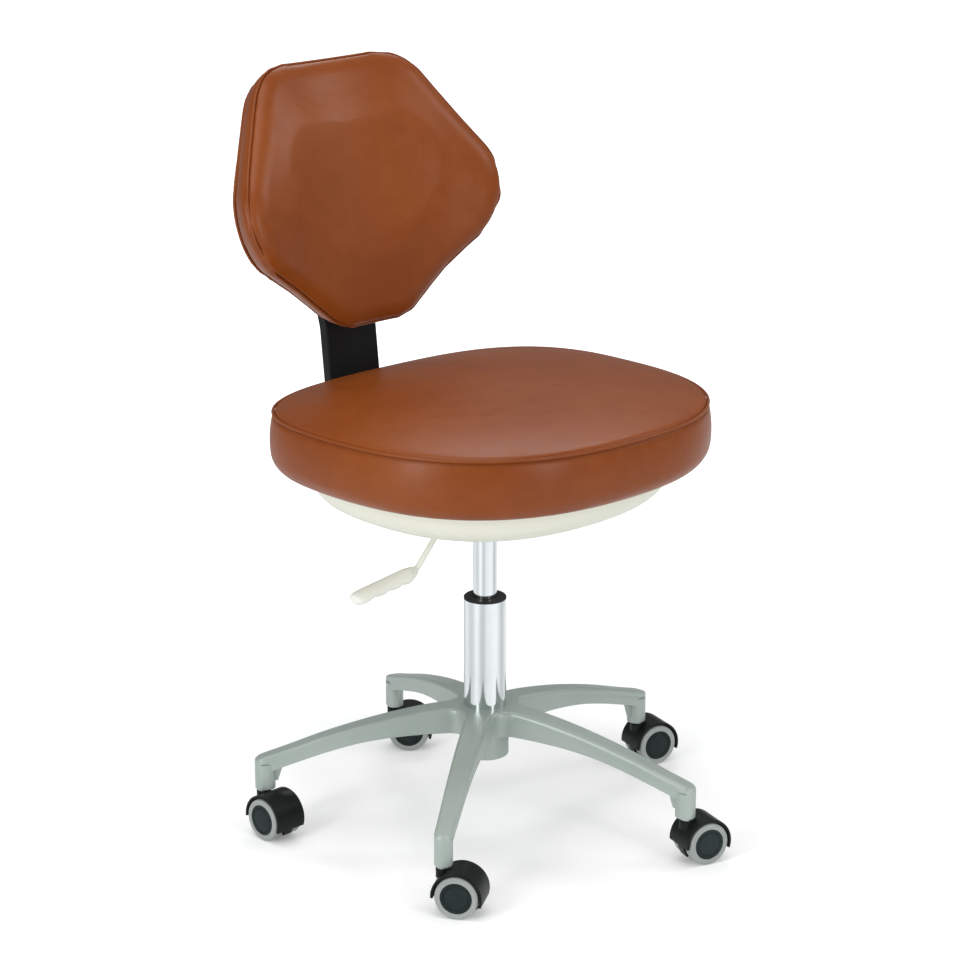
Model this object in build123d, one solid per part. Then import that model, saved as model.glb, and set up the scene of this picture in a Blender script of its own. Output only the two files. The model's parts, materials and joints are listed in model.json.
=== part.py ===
from build123d import *
import os
from math import cos, pi, radians, sin, sqrt, tan

# Height-adjustable dentist stool: five-arm base on twin-wheel casters, gas-spring column,
# upholstered seat with an under-seat cover and a release lever, and a backrest on a flat bar.
# Millimetres. Origin: the column's axis at floor level. The sitter faces -Y, so the backrest is
# at +Y, and the release lever is at the sitter's right hand, at -X.

# --- fits ---
turning_gap = 0.05       # radial clearance of a shaft that turns or slides in its bore
side_gap = 0.4           # clearance between faces that move past each other
contact_gap = 0.3        # clearance between a moving face and the one that stops it

# --- base star ---
arm_count = 5
first_arm_angle = -72.0  # degrees from +X, anticlockwise seen from above
socket_radius = 263.0    # column axis to caster stem axis
arm_root_half_width = 16.5
arm_end_half_width = 10.2
arm_web_radius = 20.0    # rounding between two neighbouring arms
arm_wall = 3.6
arm_edge_radius = 4.0
arm_cap_depth = 8.0      # the arm's back stands proud of its sides by a small lip
arm_cap_lip = 1.6
post_length = 24.0       # caster post under the arm's end, along the arm
hub_bottom = 85.0
hub_top = 148.0
hub_radius = 28.0
hub_edge_radius = 2.5
socket_bottom = 55.0
arm_end_depth = 19.0     # height of the arm's side at the caster end
arm_mid_depth = 21.0
arm_root_depth = 31.0
arm_end_drop = 53.0      # how much lower the arm's top is over the caster than at the hub
pocket_start = 38.0      # hollow under the arm, from and to this far from the column axis
pocket_end = 245.0

# --- casters ---
wheel_radius = 25.0
wheel_width = 14.4
tyre_thickness = 6.6
caster_trail = 19.0      # stem axis to wheel axle
caster_headings = (-17.0, -16.0, -45.0, -89.0, -57.0)  # degrees from +X, one for each arm
hood_web_half = 6.0
hood_thickness = 3.1
hood_to_tyre = 1.4
hood_front_angle = 184.0  # degrees about the axle, from the trailing side, up and over
hood_rear_angle = -18.0
hood_boss_radius = 8.6
axle_radius = 3.0
axle_cap_wall = 2.6
stem_radius = 5.5
stem_neck_radius = 4.0
stem_height = 30.0       # stem length inside the arm's socket
stem_flange_thickness = 2.0
stem_flange_radius = 7.5
stem_foot = 30.0         # height of the stem's lower end above the floor
ring_thickness = 0.9
ring_height = 5.0

# --- gas spring column ---
tube_radius = 25.0
tube_wall = 1.8
tube_foot_radius = 23.5
tube_foot_plate = 4.0
tube_top = 279.0
tube_foot = 86.0
collar_height = 3.0
bush_length = 74.0
cylinder_radius = 14.0
cylinder_wall = 1.5
cylinder_foot = 215.0
cylinder_top = 424.0
plug_length = 14.0
valve_body_length = 20.0
rod_radius = 5.0
rod_shoulder_radius = 9.0
rod_shoulder_height = 3.6
rod_foot = 81.0
rod_hole_clearance = 1.0
piston_bottom = 250.0
piston_height = 14.0
piston_gap = 0.08
bearing_outer_radius = 15.0
bearing_washer = 2.0
bearing_ball_radius = 1.5
bearing_ball_count = 10
clip_thickness = 2.2
clip_outer_radius = 9.0
clip_groove_depth = 0.8
clip_mouth = 5.0
valve_pin_radius = 3.0
valve_pin_length = 27.0
valve_pin_stand = 7.0    # how far the pin stands above the cylinder

# --- seat ---
seat_half_width = 244.0
seat_front = 235.0       # from the seat's widest line to its front edge
seat_back = 190.0
seat_centre_y = -5.0
seat_front_power = 2.4   # roundness of the front half and of the squarer back half
seat_back_power = 3.0
seat_bottom = 446.0
seat_side_height = 72.0  # underside to the sewn seam
seat_crown = 11.0        # top panel above the seam
seat_top_edge_radius = 9.5
seat_bottom_edge_radius = 26.0
outline_points = 28
board_thickness = 12.0
board_inset = 30.0

# --- mechanism under the seat ---
plate_thickness = 4.0
plate_width = 180.0
plate_depth = 150.0
plate_corner_radius = 14.0
socket_wall = 5.0
socket_foot = 402.0
socket_slot_width = 12.0
socket_slot_height = 15.0
seat_bolt_radius = 4.0
seat_bolt_head_radius = 7.0
seat_bolt_head_height = 5.0
seat_bolt_bite = 10.0    # length of the bolt in the board
seat_bolt_x = 72.0
seat_bolt_y = 56.0

# --- release lever ---
lever_rod_radius = 3.4
lever_rod_z = 435.2
lever_pivot_gap = 7.0      # socket's outside to the lever's pivot
lever_pivot_run = 5.8      # from where the rod turns down to the pivot, measured level
lever_grip_start = 108.5   # from the column axis
lever_grip_start_z = 339.0
lever_grip_end = 206.5
lever_grip_end_z = 326.0
lever_rod_inner_end = 5.0
lever_bend_radius = 8.0
lever_rod_in_grip = 45.0
lever_eye_radius = 6.0
lever_eye_half = 4.0
lever_pin_radius = 2.5
lever_ear_thickness = 3.0
lever_ear_width = 13.0
lever_ear_drop = 7.0
grip_half_width = 11.5
grip_half_height = 7.6
grip_neck_radius = 6.2
grip_end_radius = 6.5

# --- under-seat cover ---
cover_depth = 46.0       # seat underside to the bottom of the cover
cover_rim_inset = 40.0   # rim inside the seat's outline
cover_floor_inset = 104.0
cover_wall = 2.5
cover_column_gap = 4.0
cover_slot_width = 15.0
cover_slot_start = 40.0  # lever slot, from the column axis
cover_slot_end = 84.0
cover_bar_gap = 1.5
cover_knob_gap = 4.0
cover_post_radius = 6.0
cover_screw_radius = 2.2
cover_screw_head_radius = 4.0
cover_screw_head_height = 3.0
cover_screw_bite = 8.0
cover_screw_recess = 30.0  # the screw heads sit this high inside the posts
cover_post_x = 100.0
cover_post_front = -105.0
cover_post_back = 75.0

# --- backrest bar and its clamp ---
bar_width = 80.0
bar_thickness = 13.0
bar_edge_radius = 3.0
bar_lower_lean = 6.3     # degrees from the vertical, below the backrest
bar_foot_drop = 10.5     # plate to the bar's middle
bar_inner_end = 45.0     # from the column axis
bar_bend_radius = 34.0
bar_knee_radius = 60.0
bar_top = 205.0          # along the backrest, from its lower end
channel_wall = 4.0
channel_front = 42.0
channel_back = 165.0
depth_knob_y = 135.0
knob_stud_radius = 4.0
knob_head_height = 17.0
knob_stand_off = 4.0
knob_radius = 15.5
knob_lobe_radius = 6.0
knob_lobe_count = 5
knob_edge = 1.8

# --- backrest ---
back_recline = 16.0      # degrees from the vertical
back_foot_y = 178.0      # the sewn edge of the front panel at the middle of the lower end
back_foot_z = 585.0
back_wrap_radius = 365.0
back_corners = ((47.0, -5.0), (112.0, 45.0), (222.0, 111.0), (106.0, 309.0))  # half outline before rounding
back_corner_radii = (52.0, 160.0, 78.0, 72.0)
back_front_crown = 7.0   # front panel in front of its sewn edge
back_pad_depth = 44.0    # sewn edge to the back of the pad
back_front_edge_radius = 20.0
back_board_thickness = 11.0
back_board_inset = 14.0
back_panel_thickness = 6.0
back_panel_inset = 5.0
back_bar_gap = 5.0       # rear panel to the bar
bracket_height = 62.0
bracket_centre = 120.0   # along the backrest, from its lower end
bracket_wall = 7.0
bracket_rear_wall = 5.0
bracket_flange_width = 124.0
bracket_flange_height = 96.0
bracket_flange_corner = 10.0
back_bolt_radius = 3.0
back_bolt_head_radius = 5.5
back_bolt_head_height = 3.5
back_bolt_bite = 7.0
back_bolt_x = 54.0
back_bolt_z = 38.0

# Sizes that follow from the ones above.
plate_top = seat_bottom
plate_bottom = plate_top - plate_thickness
bar_foot_z = plate_bottom - bar_foot_drop + turning_gap * 2
wheel_inner = hood_web_half + side_gap
wheel_outer = wheel_inner + wheel_width
hub_disc_radius = wheel_radius - tyre_thickness
hood_inner_radius = wheel_radius + hood_to_tyre
hood_outer_radius = hood_inner_radius + hood_thickness
hood_boss_top = socket_bottom - stem_flange_thickness - contact_gap
lever_pivot_x = -(cylinder_radius + socket_wall + lever_pivot_gap)
lever_slope_start = -lever_pivot_x - lever_pivot_run
lever_slope_z = lever_rod_z - lever_pivot_run
back_bar_front = back_pad_depth + back_panel_thickness + back_bar_gap
back_bar_middle = back_bar_front + bar_thickness / 2
back_place = Location((0, back_foot_y, back_foot_z), (-back_recline, 0, 0))


def arm_angles():
    return [first_arm_angle + 360.0 / arm_count * k for k in range(arm_count)]


def around(shape, angle):
    return Rot(0, 0, angle) * shape


def ring(inner, outer, bottom, top):
    """A tube standing on the column axis."""
    body = Pos(0, 0, (bottom + top) / 2) * Cylinder(outer, top - bottom)
    return body - Pos(0, 0, (bottom + top) / 2) * Cylinder(inner, (top - bottom) * 2)


def rod(radius, bottom, top):
    return Pos(0, 0, (bottom + top) / 2) * Cylinder(radius, top - bottom)


def turned(points):
    """A solid turned about the column axis from its (radius, height) corners."""
    return revolve(make_face(Plane.XZ * Polyline(*points, close=True)), Axis.Z)


def save(name, shape):
    export_step(shape, "parts/" + name + ".step")


# ---------------------------------------------------------------- base star


def arm_top(radius, drop=0.0):
    """Height of the arm's back above the floor: level at the hub, falling towards the caster."""
    share = max(0.0, radius - pocket_start) / (socket_radius - pocket_start)
    return hub_top - arm_end_drop * share ** 1.55 - drop


def arm_bottom(radius):
    share = max(0.0, radius - pocket_start) / (socket_radius - pocket_start)
    if share < 0.5:
        depth = arm_root_depth + (arm_mid_depth - arm_root_depth) * share / 0.5
    else:
        depth = arm_mid_depth + (arm_end_depth - arm_mid_depth) * (share - 0.5) / 0.5
    return arm_top(radius) - depth


def arm_dome(drop, bottom):
    """The space under the arms' backs, turned about the column axis."""
    reach = socket_radius + arm_end_half_width * 2
    steps = 6
    radii = [pocket_start + (reach - pocket_start) * k / steps for k in range(steps + 1)]
    top = Spline(*[(r, arm_top(r, drop)) for r in radii], tangents=((1, 0), (0.8, -0.42)))
    level = Line((0, arm_top(0, drop)), (pocket_start, arm_top(pocket_start, drop)))
    if bottom is None:
        lower_radii = [pocket_start, 100.0, 150.0, 205.0, reach]
        lower = Spline(*[(r, arm_bottom(r)) for r in lower_radii])
        inner = Line((0, arm_bottom(pocket_start)), (pocket_start, arm_bottom(pocket_start)))
        outer = Line((reach, arm_bottom(reach)), (reach, arm_top(reach, drop)))
        axis = Line((0, arm_bottom(pocket_start)), (0, arm_top(0, drop)))
        edges = [level, top, outer, lower, inner, axis]
    else:
        outer = Line((reach, arm_top(reach, drop)), (reach, bottom))
        floor = Line((reach, bottom), (0, bottom))
        axis = Line((0, bottom), (0, arm_top(0, drop)))
        edges = [level, top, outer, floor, axis]
    face = make_face([Plane.XZ * e for e in edges])
    dome = revolve(face, Axis.Z)
    return around(dome, first_arm_angle + 180.0 / arm_count)


def arm_plan(start, end, wall):
    """One arm seen from above, lying along +X."""
    def half_width(radius):
        share = radius / socket_radius
        return arm_root_half_width + (arm_end_half_width - arm_root_half_width) * share - wall

    near = half_width(start)
    far = half_width(end)
    corners = ((start, -near), (end, -far), (end, far), (start, near))
    return make_face(Polyline(*corners, close=True))


def star_plan(inset):
    plan = Sketch()
    for angle in arm_angles():
        end = Pos(socket_radius, 0) * Circle(arm_end_half_width - inset)
        plan += around(arm_plan(0, socket_radius, inset) + end, angle)
    inner_corners = [v for v in plan.vertices() if sqrt(v.X ** 2 + v.Y ** 2) < pocket_start]
    return fillet(inner_corners, arm_web_radius)


def base_star():
    star = arm_dome(0, None) & extrude(star_plan(0), hub_top * 2)
    star -= arm_dome(arm_cap_depth, 0.0)
    top_faces = [f for f in star.faces() if f.normal_at().Z > 0.6]
    side_faces = [f for f in star.faces() if abs(f.normal_at().Z) < 0.1]
    side_edges = [e for f in side_faces for e in f.edges()]
    rims = [e for f in top_faces for e in f.edges() if e in side_edges]
    star = fillet(rims, arm_edge_radius)
    star += (arm_dome(arm_edge_radius + 1, None) & extrude(star_plan(arm_cap_lip), hub_top * 2))
    pockets = [around(extrude(arm_plan(pocket_start, pocket_end, arm_wall + arm_cap_lip), hub_top * 2), angle)
               for angle in arm_angles()]
    hollow = arm_dome(arm_wall, 0.0)
    for pocket in pockets:
        star -= pocket & hollow
    hub = rod(hub_radius, hub_bottom, arm_top(0) - arm_edge_radius)
    hub = fillet(hub.edges().group_by(Axis.Z)[0], hub_edge_radius)
    star += hub
    for angle in arm_angles():
        socket = Pos(socket_radius, 0, 0) * rod(
            stem_radius + ring_thickness, 0, socket_bottom + stem_height + ring_thickness)
        star += around(caster_post(), angle)
        star += around(arm_gusset(), angle)
        star -= around(socket, angle)
    bore = turned(((0, tube_foot), (tube_foot_radius, tube_foot), (tube_radius, hub_top),
                   (tube_radius, hub_top * 2), (0, hub_top * 2)))
    mouth = rod(tube_foot_radius - tube_foot_plate, 0, hub_top)
    return star - bore - mouth


def caster_post():
    """Round-ended block that carries the caster, flush with the sides of the arm's cap."""
    outer = socket_radius + arm_end_half_width
    top = arm_top(outer) - arm_edge_radius - 1
    plan = Pos(outer - post_length / 2, 0) * SlotOverall(post_length, arm_end_half_width * 2)
    post = Pos(0, 0, socket_bottom) * extrude(plan, top - socket_bottom)
    return fillet(post.edges().group_by(Axis.Z)[0], 1.2)


def arm_gusset():
    """Small web that stiffens the caster post where it meets the arm."""
    thick = arm_wall
    high = arm_bottom(socket_radius) + arm_wall
    low = socket_bottom + 9
    outer = socket_radius + arm_end_half_width - post_length + 2
    inner = outer - 12
    face = make_face(Plane.XZ * Polyline((inner, high + 6), (outer, high + 6), (outer, low), (outer - 5, low),
                                         close=True))
    return extrude(face, thick / 2, both=True)


# ---------------------------------------------------------------- casters


def caster_stem():
    """Steel stem: a flange under the arm's socket, a neck that the caster turns on."""
    upper = rod(stem_radius, socket_bottom, socket_bottom + stem_height)
    upper = chamfer(upper.edges().group_by(Axis.Z)[-1], 1.0)
    groove = ring(stem_radius - ring_thickness / 2, stem_radius * 2,
                  socket_bottom + stem_height - 4 - ring_height, socket_bottom + stem_height - 4)
    flange = rod(stem_flange_radius, socket_bottom - stem_flange_thickness, socket_bottom)
    neck = rod(stem_neck_radius, stem_foot, socket_bottom - stem_flange_thickness)
    return upper - groove + flange + neck


def caster_grip_ring():
    """Split spring ring that holds the stem in the arm's socket."""
    top = socket_bottom + stem_height - 4 - contact_gap
    bottom = socket_bottom + stem_height - 4 - ring_height + contact_gap
    band = ring(stem_radius - ring_thickness / 2, stem_radius + ring_thickness, bottom, top)
    split = Pos(stem_radius, 0, (top + bottom) / 2) * Box(stem_radius, 1.6, ring_height * 2)
    return band - split


def at_sockets(shape):
    spots = [around(Pos(socket_radius, 0, 0) * shape, angle) for angle in arm_angles()]
    return Compound(children=[s.solid() for s in spots])


def hood_section(inner, outer, half_width):
    """Fender band over the wheels, turned about the axle, as seen from the side."""
    band = Circle(outer) - Circle(inner)
    reach = outer * 3
    first = radians(hood_rear_angle)
    last = radians(hood_front_angle)
    middle = (first + last) / 2
    cut = make_face(Polyline((0, 0), (reach * cos(first), reach * sin(first)),
                             (reach * cos(first - 0.7), reach * sin(first - 0.7)),
                             (0, -reach),
                             (reach * cos(last + 0.7), reach * sin(last + 0.7)),
                             (reach * cos(last), reach * sin(last)), close=True))
    return extrude(Plane.XZ * (band - cut), half_width, both=True), middle


def caster_hood():
    """Twin-wheel caster body: a middle web, the fender over both wheels and the stem boss."""
    band, middle = hood_section(hood_inner_radius, hood_outer_radius, wheel_outer)
    rims = [e for e in band.edges() if abs(abs(e.center().Y) - wheel_outer) < 0.01]
    rims = [e for e in rims if e.geom_type == GeomType.CIRCLE]
    band = fillet(rims, hood_thickness * 0.42)
    web_cut = Circle(hood_inner_radius + 0.5) - Pos(0, -hood_inner_radius * 1.32) * Circle(hood_inner_radius)
    web = extrude(Plane.XZ * web_cut, hood_web_half, both=True)
    body = Pos(caster_trail, 0, wheel_radius) * (band + web)
    boss_foot = wheel_radius + sqrt(hood_outer_radius ** 2 - caster_trail ** 2) - 6
    boss = rod(hood_boss_radius, boss_foot, hood_boss_top)
    boss = fillet(boss.edges().group_by(Axis.Z)[-1], 1.2)
    inside = Pos(caster_trail, 0, wheel_radius) * Rot(90, 0, 0) * Cylinder(
        hood_inner_radius, wheel_outer * 2 + 4)
    collar = rod(hood_web_half, stem_foot - 3, hood_boss_top - 1.3)
    body = body + (boss - inside) + collar
    body -= rod(stem_neck_radius + turning_gap, stem_foot - contact_gap, socket_bottom)
    axle_hole = Pos(caster_trail, 0, wheel_radius) * Rot(90, 0, 0) * Cylinder(axle_radius, wheel_outer * 3)
    return body - axle_hole


def caster_axle():
    half = wheel_outer - axle_cap_wall - side_gap
    pin = Cylinder(axle_radius, half * 2)
    pin = chamfer(pin.edges().filter_by(GeomType.CIRCLE), 0.6)
    return Pos(caster_trail, 0, wheel_radius) * Rot(90, 0, 0) * pin


def wheel_on_side(shape, side):
    """Puts a wheel piece, modelled facing +Z from the web outwards, on the left (+1) or right (-1)."""
    return Pos(caster_trail, 0, wheel_radius) * Rot(-90 * side, 0, 0) * Pos(0, 0, wheel_inner) * shape


def wheel_hub():
    """Wheel disc with a moulded cap: a raised rim, a groove and a shallow dome in the middle."""
    face = wheel_width
    blind = wheel_width - axle_cap_wall
    bore = axle_radius + turning_gap
    profile = ((bore, 0), (hub_disc_radius, 0), (hub_disc_radius, face - 0.9), (hub_disc_radius - 0.6, face - 0.3),
               (hub_disc_radius - 2.4, face - 0.3), (hub_disc_radius - 3.2, face - 1.3),
               (hub_disc_radius - 4.6, face - 1.3), (hub_disc_radius - 5.4, face - 0.5),
               (6.5, face), (0, face), (0, blind), (bore, blind))
    return turned(profile)


def wheel_tyre():
    band = ring(hub_disc_radius, wheel_radius, 0, wheel_width)
    rims = [e for e in band.edges() if e.geom_type == GeomType.CIRCLE and e.radius > wheel_radius - 1]
    return fillet(rims, 2.6)


# ---------------------------------------------------------------- gas spring column


def column_tube():
    bore = tube_radius - tube_wall
    foot_bore = tube_foot_radius - tube_wall
    floor = tube_foot + tube_foot_plate
    hole = rod_radius + rod_hole_clearance
    return turned(((hole, tube_foot), (tube_foot_radius, tube_foot), (tube_radius, hub_top),
                   (tube_radius, tube_top), (bore, tube_top), (bore, hub_top), (foot_bore, floor),
                   (hole, floor)))


def guide_bush():
    bore = cylinder_radius + turning_gap
    bush = turned(((bore, tube_top - bush_length), (tube_radius - tube_wall, tube_top - bush_length),
                   (tube_radius - tube_wall, tube_top), (tube_radius, tube_top),
                   (tube_radius, tube_top + collar_height - 1), (tube_radius - 1, tube_top + collar_height),
                   (bore + 1, tube_top + collar_height), (bore, tube_top + collar_height - 1)))
    return bush


def thrust_bearing():
    """Two washers with balls between, under the spindle's shoulder."""
    inner = rod_radius + rod_hole_clearance
    low = tube_foot + tube_foot_plate
    ball_z = low + bearing_washer + bearing_ball_radius
    high = low + bearing_washer + bearing_ball_radius * 2
    washers = [ring(inner, bearing_outer_radius, low, low + bearing_washer),
               ring(inner, bearing_outer_radius, high, high + bearing_washer)]
    track = (inner + bearing_outer_radius) / 2
    ball = Pos(track, 0, ball_z) * Sphere(bearing_ball_radius - turning_gap)
    balls = [around(ball, 360.0 / bearing_ball_count * k) for k in range(bearing_ball_count)]
    return Compound(children=[s.solid() for s in washers + balls])


def bearing_top():
    return tube_foot + tube_foot_plate + bearing_washer * 2 + bearing_ball_radius * 2


def clip_top():
    return tube_foot - side_gap


def piston_rod():
    shoulder = bearing_top() + contact_gap
    stem = rod(rod_radius, rod_foot, piston_bottom)
    stem = chamfer(stem.edges().group_by(Axis.Z)[0], 1.0)
    stem += rod(rod_shoulder_radius, shoulder, shoulder + rod_shoulder_height)
    bore = cylinder_radius - cylinder_wall
    piston = rod(bore - piston_gap, piston_bottom, piston_bottom + piston_height)
    seal = ring(bore - piston_gap - 1.5, bore * 2, piston_bottom + 5, piston_bottom + 8)
    groove = ring(rod_radius - clip_groove_depth, rod_radius * 2, clip_top() - clip_thickness, clip_top())
    return stem + (piston - seal) - groove


def retaining_clip():
    band = ring(rod_radius - clip_groove_depth, clip_outer_radius, clip_top() - clip_thickness, clip_top())
    mouth = Pos(clip_outer_radius / 2 + 1, 0, clip_top()) * Box(clip_outer_radius, clip_mouth, clip_thickness * 4)
    return band - mouth


def gas_cylinder():
    return ring(cylinder_radius - cylinder_wall, cylinder_radius, cylinder_foot, cylinder_top)


def cylinder_plugs():
    bore = cylinder_radius - cylinder_wall
    lower = ring(rod_radius + turning_gap, bore, cylinder_foot, cylinder_foot + plug_length)
    upper = ring(valve_pin_radius + turning_gap, bore, cylinder_top - valve_body_length, cylinder_top)
    return Compound(children=[lower.solid(), upper.solid()])


def valve_pin():
    top = cylinder_top + valve_pin_stand
    pin = rod(valve_pin_radius, top - valve_pin_length, top)
    return chamfer(pin.edges().group_by(Axis.Z)[-1], 0.5)


# ---------------------------------------------------------------- seat


def power_curve(angle, inset):
    """A point on the seat's outline, a rounded square, drawn in by an inset."""
    c = cos(angle)
    s = sin(angle)
    power = seat_front_power if s < 0 else seat_back_power
    depth = (seat_front if s < 0 else seat_back) - inset
    x = (seat_half_width - inset) * abs(c) ** (2 / power) * (1 if c > 0 else -1)
    y = depth * abs(s) ** (2 / power) * (1 if s > 0 else -1)
    return (x, seat_centre_y + y)


def seat_outline(inset):
    """The seat's outline seen from above, as a face."""
    points = []
    for k in range(outline_points):
        turn = 2 * pi * (k + 0.5) / outline_points
        points.append(power_curve(turn, inset))
    return make_face(Spline(*points, periodic=True))


def seat_board():
    board = extrude(seat_outline(board_inset), board_thickness)
    board = Pos(0, 0, seat_bottom) * board
    return board - seat_bolt_holes()


def seat_cushion():
    height = seat_side_height + seat_crown
    pad = extrude(seat_outline(0), height)
    pad = fillet(pad.edges().group_by(Axis.Z)[-1], seat_top_edge_radius)
    pad = fillet(pad.edges().group_by(Axis.Z)[0], seat_bottom_edge_radius)
    pocket = extrude(seat_outline(board_inset), board_thickness)
    return Pos(0, 0, seat_bottom) * (pad - pocket)


def seat_bolt_spots():
    return [(x, y) for x in (-seat_bolt_x, seat_bolt_x) for y in (-seat_bolt_y, seat_bolt_y)]


def seat_bolt_holes():
    holes = [Pos(x, y, 0) * rod(seat_bolt_radius, plate_bottom - 1, seat_bottom + seat_bolt_bite)
             for x, y in seat_bolt_spots()]
    return holes


def seat_bolts():
    bolts = []
    for x, y in seat_bolt_spots():
        shank = rod(seat_bolt_radius, plate_bottom, seat_bottom + seat_bolt_bite)
        head = rod(seat_bolt_head_radius, plate_bottom - seat_bolt_head_height, plate_bottom)
        drive = Pos(0, 0, plate_bottom - seat_bolt_head_height) * extrude(RegularPolygon(3.4, 6), 3, both=True)
        bolts.append((Pos(x, y, 0) * (shank + head - drive)).solid())
    return Compound(children=bolts)


# ---------------------------------------------------------------- mechanism under the seat


def seat_plate():
    """Pressed steel plate with the two ears that carry the lever's pivot pin."""
    blank = extrude(RectangleRounded(plate_width, plate_depth, plate_corner_radius), plate_thickness)
    plate = Pos(0, 0, plate_bottom) * blank
    ear_low = lever_slope_z - lever_ear_drop
    ear_height = plate_bottom - ear_low
    offset = lever_eye_half + side_gap + lever_ear_thickness / 2
    for side in (-1, 1):
        ear = Pos(lever_pivot_x, side * offset, ear_low + ear_height / 2) * Box(
            lever_ear_width, lever_ear_thickness, ear_height)
        plate += ear
    pin_hole = Pos(lever_pivot_x, 0, lever_slope_z) * Rot(90, 0, 0) * Cylinder(lever_pin_radius, 60)
    plate -= pin_hole
    return plate - seat_bolt_holes()


def column_socket():
    """Tube welded under the plate; the gas cylinder's upper end is pressed into it."""
    tube = ring(cylinder_radius, cylinder_radius + socket_wall, socket_foot, plate_bottom)
    tube = chamfer(tube.edges().filter_by(GeomType.CIRCLE).group_by(Axis.Z)[0], 0.8)
    length = cylinder_radius * 2 + socket_wall
    slot = Pos(-length / 2, 0, plate_bottom - socket_slot_height / 2) * Box(
        length, socket_slot_width, socket_slot_height)
    return tube - slot


def bar_channel():
    """Flat channel welded under the plate, open at both ends, that guides the backrest bar."""
    inside_width = bar_width + turning_gap * 4
    inside_height = bar_thickness + turning_gap * 4
    length = channel_back - channel_front
    middle = bar_foot_z
    top = plate_bottom
    bottom = middle - inside_height / 2 - channel_wall
    shell = Pos(0, channel_front + length / 2, (top + bottom) / 2) * Box(
        inside_width + channel_wall * 2, length, top - bottom)
    shell = fillet(shell.edges().filter_by(Axis.Y).group_by(Axis.Z)[0], 3)
    inside = Pos(0, channel_front + length / 2, middle) * Box(inside_width, length * 2, inside_height)
    stud = Pos(0, depth_knob_y, 0) * rod(knob_stud_radius + turning_gap, bottom - 5, middle)
    return shell - inside - stud


# ---------------------------------------------------------------- release lever


def lever_route():
    """Middle line of the rod: level over the valve pin, down through the cover, along the grip."""
    reach = lever_grip_end - lever_grip_start
    fall = (lever_grip_end_z - lever_grip_start_z) / reach
    tip_x = -(lever_grip_start + lever_rod_in_grip)
    tip_z = lever_grip_start_z + fall * lever_rod_in_grip
    return ((lever_rod_inner_end, lever_rod_z), (-lever_slope_start, lever_rod_z),
            (-lever_grip_start, lever_grip_start_z), (tip_x, tip_z))


def lever_rod():
    points = [(x, 0, z) for x, z in lever_route()]
    path = FilletPolyline(*points, radius=[lever_bend_radius, lever_bend_radius * 2])
    start = Plane(origin=points[0], z_dir=(-1, 0, 0))
    body = sweep(start * Circle(lever_rod_radius), path=path)
    eye = Pos(lever_pivot_x, 0, lever_slope_z) * Rot(90, 0, 0) * Cylinder(lever_eye_radius, lever_eye_half * 2)
    hole = Pos(lever_pivot_x, 0, lever_slope_z) * Rot(90, 0, 0) * Cylinder(
        lever_pin_radius + turning_gap, lever_eye_half * 6)
    return body + eye - hole


def lever_grip():
    """Moulded paddle on the end of the rod, swelling from a slim neck to a broad finger pad."""
    start = Vector(-lever_grip_start, 0, lever_grip_start_z)
    end = Vector(-lever_grip_end, 0, lever_grip_end_z)
    along = (end - start).normalized()
    length = (end - start).length
    stations = ((0.0, grip_neck_radius, grip_neck_radius), (0.2, grip_neck_radius + 1.0, grip_neck_radius),
                (0.55, grip_half_width, grip_half_height), (0.85, grip_half_width, grip_half_height - 0.6),
                (1.0, grip_half_width - 4.0, grip_half_height - 3.0))
    sections = []
    for share, half_width, half_height in stations:
        plane = Plane(origin=start + along * (length * share), x_dir=(0, 1, 0), z_dir=along)
        sections.append(plane * Ellipse(half_width, half_height))
    grip = loft(sections)
    return grip - lever_rod()


def lever_pin():
    half = lever_eye_half + side_gap + lever_ear_thickness + 1.5
    return Pos(lever_pivot_x, 0, lever_slope_z) * Rot(90, 0, 0) * Cylinder(lever_pin_radius, half * 2)


# ---------------------------------------------------------------- under-seat cover


def cover_inset(height):
    """How far inside the seat's outline the dish is at a height, a quarter of an ellipse."""
    share = min(1.0, (seat_bottom - height) / cover_depth)
    spread = cover_floor_inset - cover_rim_inset
    return cover_rim_inset + spread * (1 - sqrt(1 - share ** 2))


def cover_dish(wall):
    floor = seat_bottom - cover_depth
    sections = []
    for share in (0.0, 0.06, 0.2, 0.45, 1.0):
        outer_z = floor + cover_depth * share
        z = outer_z + wall * (1 - share)
        sections.append(Pos(0, 0, z) * seat_outline(cover_inset(outer_z) + wall))
    return loft(sections)


def cover_posts():
    return [(x, y) for x in (-cover_post_x, cover_post_x) for y in (cover_post_front, cover_post_back)]


def under_seat_cover():
    """Dished plastic cover under the seat, with four posts for its screws."""
    shell = cover_dish(0.0) - cover_dish(cover_wall)
    floor = seat_bottom - cover_depth
    for x, y in cover_posts():
        shell += Pos(x, y, 0) * rod(cover_post_radius, floor + 1, seat_bottom)
    for x, y in cover_posts():
        head = floor + cover_screw_recess
        shell -= Pos(x, y, 0) * rod(cover_screw_head_radius + contact_gap, floor - 1, head)
        shell -= Pos(x, y, 0) * rod(cover_screw_radius, head, seat_bottom + 1)
    shell -= rod(cylinder_radius + socket_wall + cover_column_gap, floor - 5, floor + 8)
    slot_length = cover_slot_end - cover_slot_start
    slot = SlotOverall(slot_length, cover_slot_width)
    shell -= Pos(-(cover_slot_start + cover_slot_end) / 2, 0, floor - 5) * extrude(slot, 14)
    bar_hole = Pos(0, seat_back, bar_foot_z) * Box(
        bar_width + channel_wall * 2 + cover_bar_gap * 2, seat_back, bar_thickness + channel_wall * 4)
    shell -= bar_hole
    shell -= Pos(0, depth_knob_y, 0) * rod(knob_radius + knob_lobe_radius + cover_knob_gap, floor - 9, plate_bottom - 12)
    return shell


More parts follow.
